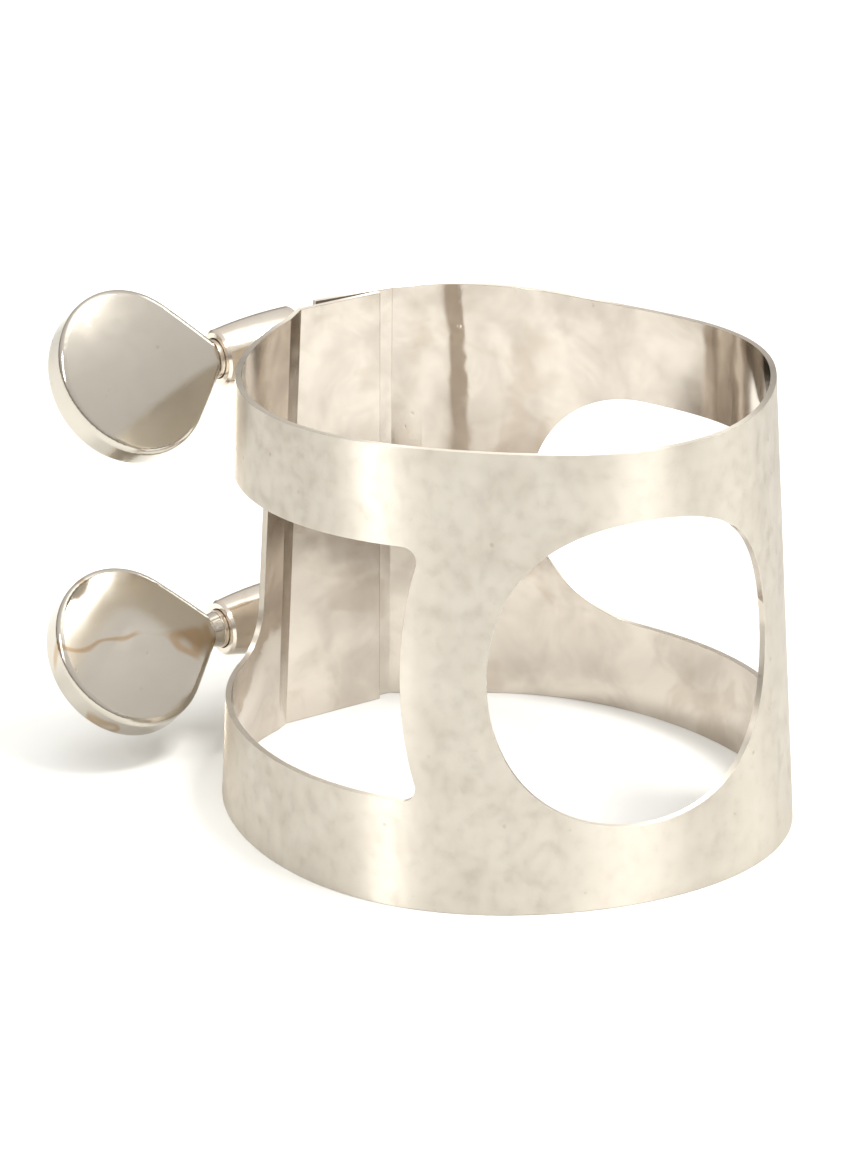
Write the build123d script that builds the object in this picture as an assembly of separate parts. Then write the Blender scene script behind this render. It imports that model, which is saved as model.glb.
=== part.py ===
from build123d import *
from math import asin, atan2, cos, hypot, radians, sin, sqrt, tan
import os

os.makedirs("parts", exist_ok=True)

# A two-screw saxophone ligature. Origin on the band's axis at the wide rim, +Z to the narrow rim.
# The gap with its lugs faces +Y, and the thumb screws' heads point to -X. Millimetres and degrees.

# band
HEIGHT = 22.6
R_WIDE = 14.0
R_NARROW = 13.24
SHEET = 0.3
WALL_POINTS = 44
NEAR_BEND_AT = 109.0
FAR_BEND_AT = 432.0
# the section is a circle with a few lobes: (number of lobes, size, direction of the first one)
OVAL_WIDE = ((2, 0.044, 109.0), (3, 0.014, 81.0), (4, 0.009, -56.0))
OVAL_NARROW = ((2, 0.054, 92.5), (3, 0.032, 68.3), (4, 0.028, 80.0), (5, 0.011, 61.7))

# the flat stretch under the screws: the near end's tongue lies inside the joggled far end
# outer face at each rim, as the bend and then the cut end
TONGUE_WIDE = ((-3.9, 14.4), (2.0, 14.45))
TONGUE_NARROW = ((-2.9, 13.8), (2.0, 14.0))
FAR_END_WIDE = ((2.9, 14.85), (-1.5, 14.9))
FAR_END_NARROW = ((3.0, 14.35), (-1.5, 14.6))

# windows, as a direction, a height and a radius along the sheet
ROUND_AT = -95.7
ROUND_Z = 11.64
ROUND_R = 7.6
BAR_R = 11.8
RIGHT_BAR_AT = -84.3
# side windows: direction of the back end, of the front end, lower and upper edge, back corners' radius
LEFT_WINDOW = (116.5, 235.0, 5.35, 17.85, 2.1)
RIGHT_WINDOW = (48.5, -65.0, 5.05, 17.65, 6.1)
FRONT_CORNER_R = 0.7
CUT_FROM = 8.0
CUT_TO = 20.0
AT_BACK_CORNER = 0.99
NEAR_BACK_CORNER = 0.9

# lugs: tapered barrels, wide end at the gap
LUG_R_GAP = 1.92
LUG_R_MIDDLE = 1.78
LUG_R_END = 1.46
LUG_LENGTH = 4.6
LUG_EDGE = 0.14
GUIDE_LUG_X = -2.05
THREADED_LUG_X = 1.95
BORE_R = 1.05
FOOT_WIDTH = 2.0
FOOT_LENGTH = 1.9
FOOT_START = 0.35
FOOT_DEPTH = 4.0

# screws: name, height and distance out of the axis, X that the head is set out from, roll of the head
SCREWS = (("upper", 20.13, 15.72, -6.2, 34.0), ("lower", 5.37, 16.0, -6.75, 40.0))
SHANK_R = 1.0
# where the shank ends and the head's tang starts: outside the guide lug at every pose
NECK_END_X = -6.9
SHANK_LENGTH = 15.0
THREAD_START = 5.7
THREAD_PITCH = 0.5
THREAD_DEPTH = 0.2
# one groove's corners, as shares of the pitch
GROOVE_FLOOR_FROM = 0.45
GROOVE_FLOOR_TO = 0.55
GROOVE_END = 0.92
TIP_CHAMFER = 0.3

# spade heads: a domed oval drawn in to a narrow waist, with a round tang
HEAD_HALF_HEIGHT = 4.35
HEAD_HALF_LENGTH = 3.95
HEAD_CENTRE = 5.58
HEAD_THICKNESS = 2.4
# a block this wide holds a whole head, whichever way it is rolled
HEAD_ROOM = 24.0
HEAD_EDGE = 0.35
DOME_R = 34.0
DOME_FLAT_R = 0.12
LENS_MARGIN = 2.0
SPADE_START = 0.75
SPADE_START_HALF = 0.8
NECK_R = 0.98
WAIST_R = 0.84
WAIST_AT = 0.6
TANG_END_R = 0.4
TANG_END_AT = 3.4


def oval(angle, lobes):
    """How far the section stands out in a direction, as a share of its mean radius."""
    return 1 + sum(size * cos(count * radians(angle - at)) for count, size, at in lobes)


def wall_point(angle, radius, lobes, inset):
    """A point on the wall's section, moved in by inset square to the sheet."""
    step = 0.1
    reach = radius * oval(angle, lobes)
    slope = radius * (oval(angle + step, lobes) - oval(angle - step, lobes)) / radians(2 * step)
    lean = radians(angle) - atan2(slope, reach)
    x = reach * cos(radians(angle)) - inset * cos(lean)
    y = reach * sin(radians(angle)) - inset * sin(lean)
    return x, y


def wall_line(radius, lobes, inset):
    """The rolled wall's points, from the near end's bend round to the far end's bend."""
    step = (FAR_BEND_AT - NEAR_BEND_AT) / (WALL_POINTS - 1)
    return [wall_point(NEAR_BEND_AT + step * i, radius, lobes, inset) for i in range(WALL_POINTS)]


def inward(start, end, point):
    """A point moved in by the sheet's thickness, square to a flat stretch."""
    run_x, run_y = end[0] - start[0], end[1] - start[1]
    length = hypot(run_x, run_y)
    side = 1 if run_x > 0 else -1
    return point[0] + side * SHEET * run_y / length, point[1] - side * SHEET * run_x / length


def band_section(z, radius, lobes, tongue, far_end):
    """The sheet's section at one rim: the rolled wall with the flat far end and the flat tongue."""
    outer = wall_line(radius, lobes, 0)
    inner = wall_line(radius, lobes, SHEET)
    far_inner = [inward(*far_end, point) for point in far_end]
    tongue_inner = [inward(*tongue, point) for point in tongue]
    with BuildSketch(Plane.XY.offset(z)) as sketch:
        with BuildLine():
            Spline(*outer)
            Line(outer[-1], far_end[0])
            Line(far_end[0], far_end[1])
            Line(far_end[1], far_inner[1])
            Line(far_inner[1], far_inner[0])
            Line(far_inner[0], inner[-1])
            Spline(*reversed(inner))
            Line(inner[0], tongue_inner[0])
            Line(tongue_inner[0], tongue_inner[1])
            Line(tongue_inner[1], tongue[1])
            Line(tongue[1], tongue[0])
            Line(tongue[0], outer[0])
        make_face()
    return sketch.sketch


def filled_section(z, radius, lobes, tongue, far_end):
    """Everything inside the band's outer face at one rim."""
    outer = wall_line(radius, lobes, 0)
    edge_x = far_end[1][0]
    share = (edge_x - tongue[0][0]) / (tongue[1][0] - tongue[0][0])
    edge_y = tongue[0][1] + share * (tongue[1][1] - tongue[0][1])
    with BuildSketch(Plane.XY.offset(z)) as sketch:
        with BuildLine():
            Spline(*outer)
            Line(outer[-1], far_end[0])
            Line(far_end[0], far_end[1])
            Line(far_end[1], (edge_x, edge_y))
            Line((edge_x, edge_y), tongue[0])
            Line(tongue[0], outer[0])
        make_face()
    return sketch.sketch


def lofted(section):
    """A tapered solid between a section at the wide rim and the same at the narrow rim."""
    wide = section(0, R_WIDE, OVAL_WIDE, TONGUE_WIDE, FAR_END_WIDE)
    narrow = section(HEIGHT, R_NARROW, OVAL_NARROW, TONGUE_NARROW, FAR_END_NARROW)
    return loft([wide.face(), narrow.face()], ruled=True)


def radial_patch(at, radius, distance):
    """A round patch of the rolled sheet, seen flat at a distance from the axis."""
    mean = (R_WIDE + R_NARROW) / 2 - SHEET / 2
    across = (cos(radians(at)), sin(radians(at)), 0)
    along = (-sin(radians(at)), cos(radians(at)), 0)
    plane = Plane(origin=(distance * across[0], distance * across[1], ROUND_Z), x_dir=along, z_dir=across)
    return plane * Ellipse(distance * tan(radius / mean), radius)


def radial_plug(at, radius):
    """A punch for a round patch, with sides that run towards the axis."""
    near, far = radial_patch(at, radius, 1.0), radial_patch(at, radius, CUT_TO)
    return loft([near.face(), far.face()], ruled=True)


def toward(edge, at):
    """How nearly the middle of an edge lies in a direction round the axis, 1 when it does."""
    middle = edge @ 0.5
    return (middle.X * cos(radians(at)) + middle.Y * sin(radians(at))) / hypot(middle.X, middle.Y)


def side_punch(back, front, low, high, corner_r, bar_at):
    """The punch for a side window: rounded at the back, hollowed by the bar at the front."""
    block = Rectangle(CUT_TO - CUT_FROM, high - low)
    profile = Plane.XZ * Pos((CUT_FROM + CUT_TO) / 2, (low + high) / 2) * block
    sector = Rot(0, 0, min(back, front)) * revolve(profile, Axis.Z, abs(front - back))
    level = [e for e in sector.edges().filter_by(GeomType.LINE) if abs(e.tangent_at(0).Z) < 0.5]
    punch = fillet([e for e in level if toward(e, back) > AT_BACK_CORNER], corner_r)
    hollowed = punch - radial_plug(bar_at, BAR_R)
    flat = [e for e in hollowed.edges() if e.bounding_box().size.Z < 0.01]
    rims = [e for e in flat if e.geom_type != GeomType.CIRCLE]
    return fillet([e for e in rims if toward(e, back) < NEAR_BACK_CORNER], FRONT_CORNER_R)


def make_band():
    """The whole stamped band with its tongue and windows."""
    band = lofted(band_section) - radial_plug(ROUND_AT, ROUND_R)
    band -= side_punch(*LEFT_WINDOW, ROUND_AT)
    band -= side_punch(*RIGHT_WINDOW, RIGHT_BAR_AT)
    return band


def barrel_blank():
    """A lug's barrel along +X from its wide end, solid."""
    side = ((LUG_EDGE, LUG_R_GAP), (LUG_LENGTH / 2, LUG_R_MIDDLE), (LUG_LENGTH - LUG_EDGE, LUG_R_END))
    with BuildPart() as part:
        with BuildSketch(Plane.XY):
            with BuildLine():
                Line((0, 0), (0, LUG_R_GAP - LUG_EDGE))
                Line((0, LUG_R_GAP - LUG_EDGE), (LUG_EDGE, LUG_R_GAP))
                ThreePointArc(*side)
                Line(side[2], (LUG_LENGTH, LUG_R_END - LUG_EDGE))
                Line((LUG_LENGTH, LUG_R_END - LUG_EDGE), (LUG_LENGTH, 0))
                Line((LUG_LENGTH, 0), (0, 0))
            make_face()
        revolve(axis=Axis.X)
    return part.part


def make_lug(x, side, z, y, filled):
    """A lug with its foot, trimmed to the band's outer face. side is +1 or -1 along X."""
    foot_x = FOOT_START + FOOT_LENGTH / 2
    foot = Pos(foot_x, -FOOT_DEPTH / 2, 0) * Box(FOOT_LENGTH, FOOT_DEPTH, FOOT_WIDTH)
    blank = barrel_blank() + foot
    if side < 0:
        blank = mirror(blank, Plane.YZ)
    blank = Pos(x, y, z) * blank
    bore = Pos(x + side * LUG_LENGTH / 2, y, z) * Rot(0, 90, 0) * Cylinder(BORE_R, 2 * LUG_LENGTH)
    return blank - filled - bore


def make_shank(z, y):
    """A screw's shank along X, with a ringed thread on its far stretch."""
    thread_x = NECK_END_X + THREAD_START
    tip_x = NECK_END_X + SHANK_LENGTH
    points = [(NECK_END_X, 0), (NECK_END_X, SHANK_R)]
    for i in range(int((tip_x - TIP_CHAMFER - thread_x) / THREAD_PITCH)):
        start = thread_x + i * THREAD_PITCH
        points.append((start, SHANK_R))
        points.append((start + GROOVE_FLOOR_FROM * THREAD_PITCH, SHANK_R - THREAD_DEPTH))
        points.append((start + GROOVE_FLOOR_TO * THREAD_PITCH, SHANK_R - THREAD_DEPTH))
        points.append((start + GROOVE_END * THREAD_PITCH, SHANK_R))
    points.append((tip_x - TIP_CHAMFER, SHANK_R))
    points.append((tip_x, SHANK_R - TIP_CHAMFER))
    points.append((tip_x, 0))
    profile = make_face(Polyline(*points, close=True).edges())
    return Pos(0, y, z) * revolve(profile, Axis.X)


def spade_outline():
    """The head's flat outline: an oval drawn out to the waist by two tangent lines."""
    squeeze = HEAD_HALF_LENGTH / HEAD_HALF_HEIGHT
    centre_x = -HEAD_CENTRE / squeeze
    waist = (-SPADE_START / squeeze, SPADE_START_HALF)
    reach = hypot(waist[0] - centre_x, waist[1])
    turn = atan2(waist[1], waist[0] - centre_x) + radians(90) - asin(HEAD_HALF_HEIGHT / reach)
    touch = (centre_x + HEAD_HALF_HEIGHT * cos(turn), HEAD_HALF_HEIGHT * sin(turn))
    with BuildSketch(Plane.XZ) as sketch:
        with BuildLine():
            Line((waist[0], -waist[1]), waist)
            Line(waist, touch)
            ThreePointArc(touch, (centre_x - HEAD_HALF_HEIGHT, 0), (touch[0], -touch[1]))
            Line((touch[0], -touch[1]), (waist[0], -waist[1]))
        make_face()
    return scale(sketch.sketch, by=(squeeze, 1, 1))


def dome_height(distance):
    """Half the head's thickness at a distance from its middle."""
    return HEAD_THICKNESS / 2 - (DOME_R - sqrt(DOME_R ** 2 - distance ** 2))


def lens():
    """A wide lens with the head's two domed faces, its axis along Y."""
    reach = HEAD_HALF_HEIGHT + LENS_MARGIN
    arc = [(x, dome_height(x)) for x in (DOME_FLAT_R, reach / 2, reach)]
    middle = (0, arc[0][1])
    with BuildSketch(Plane.XY) as sketch:
        with BuildLine():
            Line(middle, arc[0])
            ThreePointArc(*arc)
            Line(arc[2], (reach, -arc[2][1]))
            ThreePointArc(*[(x, -y) for x, y in reversed(arc)])
            Line((arc[0][0], -arc[0][1]), (0, -middle[1]))
            Line((0, -middle[1]), middle)
        make_face()
    return Pos(-HEAD_CENTRE, 0, 0) * revolve(sketch.sketch, Axis.Y)


def make_tang():
    """The round stub that carries the spade: a quick taper to the waist, then a slow one."""
    near = Pos(-WAIST_AT / 2, 0, 0) * Rot(0, -90, 0) * Cone(NECK_R, WAIST_R, WAIST_AT)
    length = TANG_END_AT - WAIST_AT
    far = Pos(-WAIST_AT - length / 2, 0, 0) * Rot(0, -90, 0) * Cone(WAIST_R, TANG_END_R, length)
    return near + far


def make_head(z, y, start_x, roll):
    """A domed spade head with its tang, cut off square where the shank ends."""
    slab = extrude(spade_outline(), HEAD_THICKNESS, both=True) & lens()
    rim = [e for e in slab.edges() if abs(e.tangent_at(0.5).Y) < 0.5 and e.length > 1]
    slab = fillet(rim, HEAD_EDGE)
    head = Pos(start_x, y, z) * Rot(-roll, 0, 0) * (slab + make_tang())
    return head & Pos(NECK_END_X - HEAD_ROOM / 2, y, z) * Box(HEAD_ROOM, HEAD_ROOM, HEAD_ROOM)


def save(node, solid):
    """Write one piece, with a line on its volume."""
    export_step(solid, f"parts/{node}.step")
    print(node, round(solid.volume, 2), "mm3", len(solid.solids()), "solid", solid.is_valid)


save("band", make_band())
filled_band = lofted(filled_section)
for name, screw_z, screw_y, start_at, head_roll in SCREWS:
    save(f"guide_lug_{name}", make_lug(GUIDE_LUG_X, -1, screw_z, screw_y, filled_band))
    save(f"threaded_lug_{name}", make_lug(THREADED_LUG_X, 1, screw_z, screw_y, filled_band))
    save(f"screw_shank_{name}", make_shank(screw_z, screw_y))
    save(f"screw_head_{name}", make_head(screw_z, screw_y, start_at, head_roll))
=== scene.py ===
from math import cos, pi, radians, sin

import bpy
from mathutils import Matrix, Vector


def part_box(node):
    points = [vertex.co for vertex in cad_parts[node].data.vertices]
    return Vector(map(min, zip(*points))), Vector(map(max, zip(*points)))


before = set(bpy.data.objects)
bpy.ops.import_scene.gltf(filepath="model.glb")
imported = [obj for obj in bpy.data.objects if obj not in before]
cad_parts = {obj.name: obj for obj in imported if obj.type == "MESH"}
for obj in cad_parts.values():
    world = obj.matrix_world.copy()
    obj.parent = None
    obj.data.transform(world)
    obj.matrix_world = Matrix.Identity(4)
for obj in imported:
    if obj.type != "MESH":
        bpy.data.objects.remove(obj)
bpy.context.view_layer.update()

# Metres and degrees, in the frame of the CAD: the band stands on z = 0, its gap faces +Y and the
# thumb screws' heads point to -X.
BAND_LOW, BAND_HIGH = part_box("band")
BAND_HEIGHT = BAND_HIGH.z - BAND_LOW.z
MM = 0.001

# --- camera: where it stands round the band, and its long lens
CAMERA_AZIMUTH = -125.0
CAMERA_ELEVATION = 20.97
CAMERA_DISTANCE = 0.1978
CAMERA_YAW = -0.991
CAMERA_PITCH = -0.139
CAMERA_ROLL = -0.054
LENS_MM = 167.57
SENSOR_MM = 36.0
SEES_FROM = 0.01
SEES_TO = 20

# --- studio: softboxes as name, azimuth, elevation, width, height, brightness, colour
SOFTBOX_DISTANCE = 0.55
SOFTBOXES = (
    ("overhead softbox", -48.0, 66.0, 0.14, 0.15, 28.0, (1.0, 0.99, 0.97)),
    ("right softbox", -5.0, 38.0, 0.26, 0.20, 2.4, (0.98, 1.0, 0.97)),
    ("left softbox", -178.0, 36.0, 0.07, 0.24, 13.5, (1.0, 0.99, 0.97)),
)
# the room by the sine of the elevation: dark at the horizon, a pale ceiling above
ROOM = (
    (-0.02, (0.29, 0.27, 0.245)),
    (0.16, (0.34, 0.315, 0.29)),
    (0.34, (0.74, 0.72, 0.69)),
    (0.62, (0.84, 0.825, 0.80)),
    (0.86, (0.98, 0.97, 0.945)),
    (1.0, (2.6, 2.6, 2.54)),
)
FLOOR_SIZE = 1.6
FLOOR_COLOUR = (0.89, 0.895, 0.88)
FLOOR_MOTTLE = 0.985
FLOOR_DROP = 0.00002

# --- nickel plate
# bright and dull plate of each piece, and the darker plate of the band's inside
BAND_PLATE = ((0.83, 0.772, 0.685), (0.79, 0.725, 0.635))
LUG_PLATE = ((0.84, 0.80, 0.72), (0.76, 0.70, 0.62))
HEAD_PLATE = ((0.58, 0.54, 0.475), (0.545, 0.50, 0.435))
INSIDE_PLATE = ((0.68, 0.62, 0.55), (0.52, 0.465, 0.41))
TARNISH = (0.42, 0.34, 0.26)
INSIDE_TARNISH = 0.35
VEIN = (0.46, 0.34, 0.22)
# painted reflection: a copper-brown tint that stands in for the warm band mirrored in the lugs and shanks
PAINTED_WARM_REFLECTION = (0.70, 0.50, 0.37)
# each finish: roughness, relief of its dents and of its scratches in metres, tarnish, scratches per
# metre along X, Y and Z, and the share of painted copper-brown reflection it carries
BAND_FINISH = (0.48, 0.004 * MM, 0.0005 * MM, 0.08, (60.0, 60.0, 9000.0), 0.0)
LUG_FINISH = (0.16, 0.010 * MM, 0.0006 * MM, 0.12, (9000.0, 200.0, 200.0), 0.30)
SHANK_FINISH = (0.22, 0.004 * MM, 0.0006 * MM, 0.25, (200.0, 4000.0, 4000.0), 0.25)
HEAD_FINISH = (0.15, 0.010 * MM, 0.0003 * MM, 0.05, (300.0, 900.0, 5000.0), 0.0)
LOWER_HEAD_VEINS = 0.9
# how fine each pattern is, in features per metre
CLOUDS = 420.0
HAZE = 1500.0
PITS = 1500.0
PITTED_AREAS = 700.0
DENTS = 170.0
INSIDE_DENTS = 260.0
INSIDE_WEAR = 330.0
INSIDE_TARNISH_AREAS = 240.0
VEINS = 150.0
VEINED_AREAS = 190.0
PAPER_GRAIN = 900.0
# how high each relief stands, and how far the edges look rounded, in metres
HAZE_RELIEF = 0.0012 * MM
PIT_RELIEF = 0.006 * MM
INSIDE_RELIEF = 0.06 * MM
EDGE_ROUNDING = 0.05 * MM
# shares: how dull the clouds get, how brown the pits are, how much rougher dull plate is, and how
# much smoother the band's inside is
CLOUD_DULLNESS = 0.6
PIT_TARNISH = 0.35
DULL_ROUGHNESS = 0.12
INSIDE_SMOOTHING = 0.72
# the band's brushing: how much it spreads a highlight, and a quarter turn of its direction
BRUSHING = 0.98
BRUSHING_TURN = 0.25
# the inner face looks at the axis: place times normal is below this, in metres
INSIDE_BELOW = -0.002


def direction(azimuth, elevation):
    """The unit vector that points to an azimuth and an elevation."""
    around, above = radians(azimuth), radians(elevation)
    return Vector((cos(around) * cos(above), sin(around) * cos(above), sin(above)))


# --- node helpers


def node(tree, kind, inputs=None, **settings):
    """A shader node with its settings, and its inputs set or linked."""
    made = tree.nodes.new(kind)
    for name, value in settings.items():
        setattr(made, name, value)
    for socket, value in (inputs or {}).items():
        if isinstance(value, bpy.types.NodeSocket):
            tree.links.new(value, made.inputs[socket])
        else:
            made.inputs[socket].default_value = value
    return made


def math(tree, operation, first, second=0.0, clamp=False):
    """A math node's result."""
    made = node(tree, "ShaderNodeMath", {0: first, 1: second}, operation=operation, use_clamp=clamp)
    return made.outputs[0]


def remap(tree, value, low, high, to_low=0.0, to_high=1.0):
    """A value's range low..high carried smoothly to to_low..to_high."""
    inputs = {"Value": value, "From Min": low, "From Max": high, "To Min": to_low, "To Max": to_high}
    made = node(tree, "ShaderNodeMapRange", inputs, interpolation_type="SMOOTHSTEP", clamp=True)
    return made.outputs["Result"]


def noise(tree, where, scale, detail=2.0, distortion=0.0):
    """Fractal noise over the surface, scale in features per metre."""
    inputs = {"Vector": where, "Scale": scale, "Detail": detail, "Distortion": distortion}
    return node(tree, "ShaderNodeTexNoise", inputs).outputs["Fac"]


def stretched(tree, where, scale):
    """The place on the surface with each axis scaled."""
    inputs = {"Vector": where, "Scale": scale}
    return node(tree, "ShaderNodeMapping", inputs, vector_type="POINT").outputs["Vector"]


def mixed(tree, share, first, second):
    """Two colours mixed by a share. Sockets 0, 6 and 7 are the share and the two colours."""
    made = node(tree, "ShaderNodeMix", data_type="RGBA")
    for socket, value in ((0, share), (6, first), (7, second)):
        if isinstance(value, bpy.types.NodeSocket):
            tree.links.new(value, made.inputs[socket])
        else:
            made.inputs[socket].default_value = value if socket == 0 else (*value, 1.0)
    return made.outputs[2]


def bumped(tree, height, size, normal):
    """The normal after a relief of the given height in metres."""
    inputs = {"Height": height, "Distance": size, "Strength": 1.0, "Normal": normal}
    return node(tree, "ShaderNodeBump", inputs).outputs["Normal"]


def new_material(name):
    """An empty node material: the material, its tree and its Principled shader."""
    made = bpy.data.materials.new(name)
    made.use_nodes = True
    made.node_tree.nodes.clear()
    shader = node(made.node_tree, "ShaderNodeBsdfPrincipled")
    shader.inputs["Metallic"].default_value = 1.0
    node(made.node_tree, "ShaderNodeOutputMaterial", {"Surface": shader.outputs[0]})
    return made, made.node_tree, shader


def link(tree, shader, **sockets):
    """Link a shader's sockets, written with _ for a space."""
    for name, value in sockets.items():
        tree.links.new(value, shader.inputs[name.replace("_", " ")])


# --- materials


def nickel(name, plate, roughness, dents, streaks, tarnish, along, warm_reflection):
    """Worn nickel plate: cloudy gloss, fine scratches, pits, soft dents and rounded bright edges."""
    made, tree, shader = new_material(name)
    where = node(tree, "ShaderNodeTexCoord").outputs["Object"]
    clouds = noise(tree, where, CLOUDS, 5.0, 0.6)
    haze = noise(tree, where, HAZE, 3.0)
    scratches = noise(tree, stretched(tree, where, along), 1.0, 2.0)
    pits = node(tree, "ShaderNodeTexVoronoi", {"Vector": where, "Scale": PITS}).outputs["Distance"]
    chosen = remap(tree, noise(tree, where, PITTED_AREAS), 0.60, 0.68)
    pitted = math(tree, "MULTIPLY", remap(tree, pits, 0.05, 0.24, 1.0, 0.0), chosen)
    dull = remap(tree, clouds, 0.35, 0.75, 0.0, CLOUD_DULLNESS)
    colour = mixed(tree, dull, *plate)
    stained = math(tree, "MULTIPLY", remap(tree, haze, 0.5, 0.8), tarnish)
    browned = math(tree, "ADD", stained, math(tree, "MULTIPLY", pitted, PIT_TARNISH), True)
    colour = mixed(tree, browned, colour, TARNISH)
    # painted reflection: a copper-brown tint, varied by the clouds, for the warm band that the lugs and
    # shanks mirror
    if warm_reflection:
        warm_reflection_share = remap(tree, clouds, 0.3, 0.7, warm_reflection * 0.5, warm_reflection)
        colour = mixed(tree, warm_reflection_share, colour, PAINTED_WARM_REFLECTION)
    rough = remap(tree, haze, 0.3, 0.75, roughness * 0.94, roughness * 1.08)
    rough = math(tree, "ADD", rough, math(tree, "MULTIPLY", dull, roughness * DULL_ROUGHNESS))
    rounded = node(tree, "ShaderNodeBevel", {"Radius": EDGE_ROUNDING}, samples=4).outputs["Normal"]
    normal = bumped(tree, noise(tree, where, DENTS, 1.0), dents, rounded)
    normal = bumped(tree, haze, HAZE_RELIEF, normal)
    normal = bumped(tree, scratches, streaks, normal)
    normal = bumped(tree, math(tree, "SUBTRACT", 1.0, pitted), PIT_RELIEF, normal)
    link(tree, shader, Base_Color=colour, Roughness=rough, Normal=normal)
    return made, tree, shader


def band_nickel():
    """The band: brushed round its outside, and smoother, darker and dented inside."""
    made, tree, shader = nickel("band nickel", BAND_PLATE, *BAND_FINISH)
    shader.inputs["Anisotropic"].default_value = BRUSHING
    shader.inputs["Anisotropic Rotation"].default_value = BRUSHING_TURN
    around = node(tree, "ShaderNodeTangent", direction_type="RADIAL", axis="Z").outputs["Tangent"]
    link(tree, shader, Tangent=around)
    inside = inside_mask(tree)
    rough = shader.inputs["Roughness"].links[0].from_socket
    gloss = math(tree, "SUBTRACT", 1.0, math(tree, "MULTIPLY", inside, INSIDE_SMOOTHING))
    link(tree, shader, Roughness=math(tree, "MULTIPLY", rough, gloss))
    normal = shader.inputs["Normal"].links[0].from_socket
    where = node(tree, "ShaderNodeTexCoord").outputs["Object"]
    uneven = math(tree, "MULTIPLY", noise(tree, where, INSIDE_DENTS, 1.0, 0.6), inside)
    link(tree, shader, Normal=bumped(tree, uneven, INSIDE_RELIEF, normal))
    colour = shader.inputs["Base Color"].links[0].from_socket
    worn = remap(tree, noise(tree, where, INSIDE_WEAR, 4.0, 0.5), 0.35, 0.7)
    areas = noise(tree, where, INSIDE_TARNISH_AREAS, 3.0, 0.7)
    tarnished = remap(tree, areas, 0.54, 0.66, 0.0, INSIDE_TARNISH)
    inner = mixed(tree, tarnished, mixed(tree, worn, *INSIDE_PLATE), TARNISH)
    link(tree, shader, Base_Color=mixed(tree, inside, colour, inner))
    return made


def head_nickel(name, veins):
    """The heads' glossy nickel, with thin brown veins as strong as veins says."""
    made, tree, shader = nickel(name, HEAD_PLATE, *HEAD_FINISH)
    where = node(tree, "ShaderNodeTexCoord").outputs["Object"]
    line = math(tree, "ABSOLUTE", math(tree, "SUBTRACT", noise(tree, where, VEINS, 2.0, 0.4), 0.5))
    vein = remap(tree, line, 0.004, 0.024, veins, 0.0)
    kept = remap(tree, noise(tree, where, VEINED_AREAS, 0.0), 0.42, 0.50)
    colour = shader.inputs["Base Color"].links[0].from_socket
    link(tree, shader, Base_Color=mixed(tree, math(tree, "MULTIPLY", vein, kept), colour, VEIN))
    return made


def inside_mask(tree):
    """1 on the band's inner face and 0 on its outer face."""
    geometry = node(tree, "ShaderNodeNewGeometry")
    inputs = {0: geometry.outputs["Position"], 1: geometry.outputs["True Normal"]}
    facing = node(tree, "ShaderNodeVectorMath", inputs, operation="DOT_PRODUCT").outputs["Value"]
    return math(tree, "LESS_THAN", facing, INSIDE_BELOW)


def floor_paper():
    """Smooth white paper with the faintest mottle."""
    made, tree, shader = new_material("white paper")
    shader.inputs["Metallic"].default_value = 0.0
    shader.inputs["Specular IOR Level"].default_value = 0.25
    where = node(tree, "ShaderNodeTexCoord").outputs["Object"]
    grain = noise(tree, where, PAPER_GRAIN, 3.0)
    darker = tuple(value * FLOOR_MOTTLE for value in FLOOR_COLOUR)
    rough = remap(tree, grain, 0.3, 0.7, 0.55, 0.7)
    link(tree, shader, Base_Color=mixed(tree, grain, FLOOR_COLOUR, darker), Roughness=rough)
    return made


# --- stage


def make_camera():
    """The photograph's view: a long lens a little above the narrow rim, heads to the left."""
    data = bpy.data.cameras.new("camera")
    data.sensor_fit = "HORIZONTAL"
    data.sensor_width = SENSOR_MM
    data.lens = LENS_MM
    data.clip_start = SEES_FROM
    data.clip_end = SEES_TO
    camera = bpy.data.objects.new("camera", data)
    bpy.context.scene.collection.objects.link(camera)
    away = direction(CAMERA_AZIMUTH, CAMERA_ELEVATION)
    target = Vector((0, 0, BAND_HEIGHT / 2))
    aim = away.to_track_quat("Z", "Y").to_matrix()
    turn = (
        Matrix.Rotation(radians(CAMERA_ROLL), 3, "Z")
        @ Matrix.Rotation(radians(CAMERA_PITCH), 3, "X")
        @ Matrix.Rotation(radians(CAMERA_YAW), 3, "Y")
    )
    rotation = (aim @ turn.transposed()).to_4x4()
    camera.matrix_world = Matrix.Translation(target + away * CAMERA_DISTANCE) @ rotation
    bpy.context.scene.camera = camera


def make_floor():
    """A wide sheet of white paper under the band."""
    bpy.ops.mesh.primitive_plane_add(size=FLOOR_SIZE)
    floor = bpy.context.object
    floor.name = "floor"
    floor.location = (0, 0, BAND_LOW.z - FLOOR_DROP)
    floor.data.materials.append(floor_paper())


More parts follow.
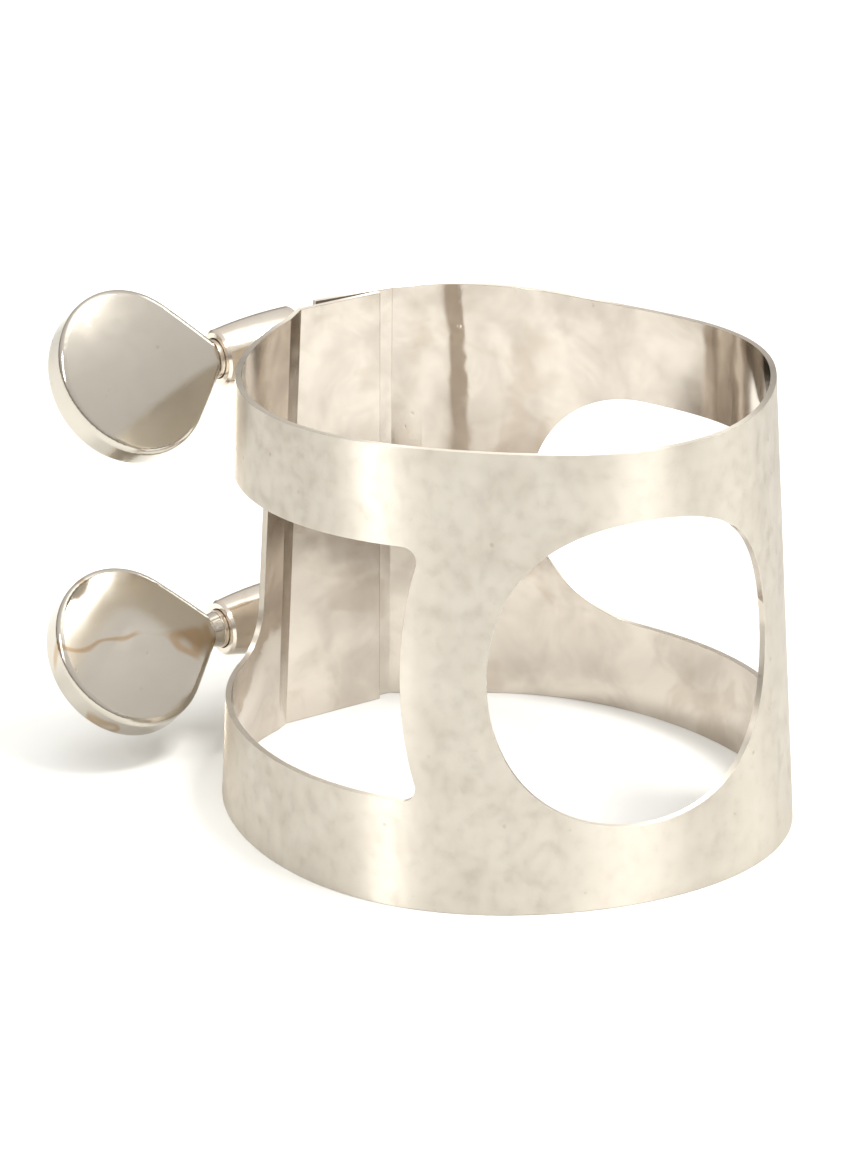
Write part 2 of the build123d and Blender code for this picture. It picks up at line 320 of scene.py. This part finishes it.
def make_softbox(name, azimuth, elevation, width, height, brightness, colour):
    """A rectangular soft light that faces the band."""
    data = bpy.data.lights.new(name, "AREA")
    data.shape = "RECTANGLE"
    data.size = width
    data.size_y = height
    data.energy = brightness * pi * width * height
    data.color = colour
    light = bpy.data.objects.new(name, data)
    bpy.context.scene.collection.objects.link(light)
    toward = direction(azimuth, elevation)
    light.location = Vector((0, 0, BAND_HEIGHT / 2)) + toward * SOFTBOX_DISTANCE
    light.rotation_euler = toward.to_track_quat("Z", "Y").to_euler()


def make_room():
    """The soft room light, by elevation."""
    world = bpy.data.worlds.new("room")
    bpy.context.scene.world = world
    world.use_nodes = True
    tree = world.node_tree
    tree.nodes.clear()
    way = node(tree, "ShaderNodeTexCoord").outputs["Generated"]
    height = node(tree, "ShaderNodeSeparateXYZ", {0: way}).outputs["Z"]
    low, high = ROOM[0][0], ROOM[-1][0]
    share = node(tree, "ShaderNodeMapRange", {"Value": height, "From Min": low, "From Max": high}).outputs[0]
    ramp = node(tree, "ShaderNodeValToRGB", {"Fac": share})
    stops = ramp.color_ramp.elements
    while len(stops) < len(ROOM):
        stops.new(0.5)
    for stop, (sine, colour) in zip(stops, ROOM):
        stop.position = (sine - low) / (high - low)
        stop.color = (*colour, 1.0)
    shade = node(tree, "ShaderNodeBackground", {"Color": ramp.outputs["Color"], "Strength": 1.0})
    node(tree, "ShaderNodeOutputWorld", {"Surface": shade.outputs[0]})


def dress():
    """Give every CAD node the finish of its kind."""
    finishes = {
        "band": band_nickel(),
        "lug": nickel("lug nickel", LUG_PLATE, *LUG_FINISH)[0],
        "shank": nickel("shank nickel", LUG_PLATE, *SHANK_FINISH)[0],
        "head_upper": head_nickel("upper head nickel", 0.0),
        "head_lower": head_nickel("lower head nickel", LOWER_HEAD_VEINS),
    }
    for name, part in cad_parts.items():
        finish = next(made for key, made in finishes.items() if key in name)
        part.data.materials.clear()
        part.data.materials.append(finish)


make_camera()
make_floor()
make_room()
for softbox in SOFTBOXES:
    make_softbox(*softbox)
dress()
bpy.context.scene.view_settings.view_transform = "Standard"
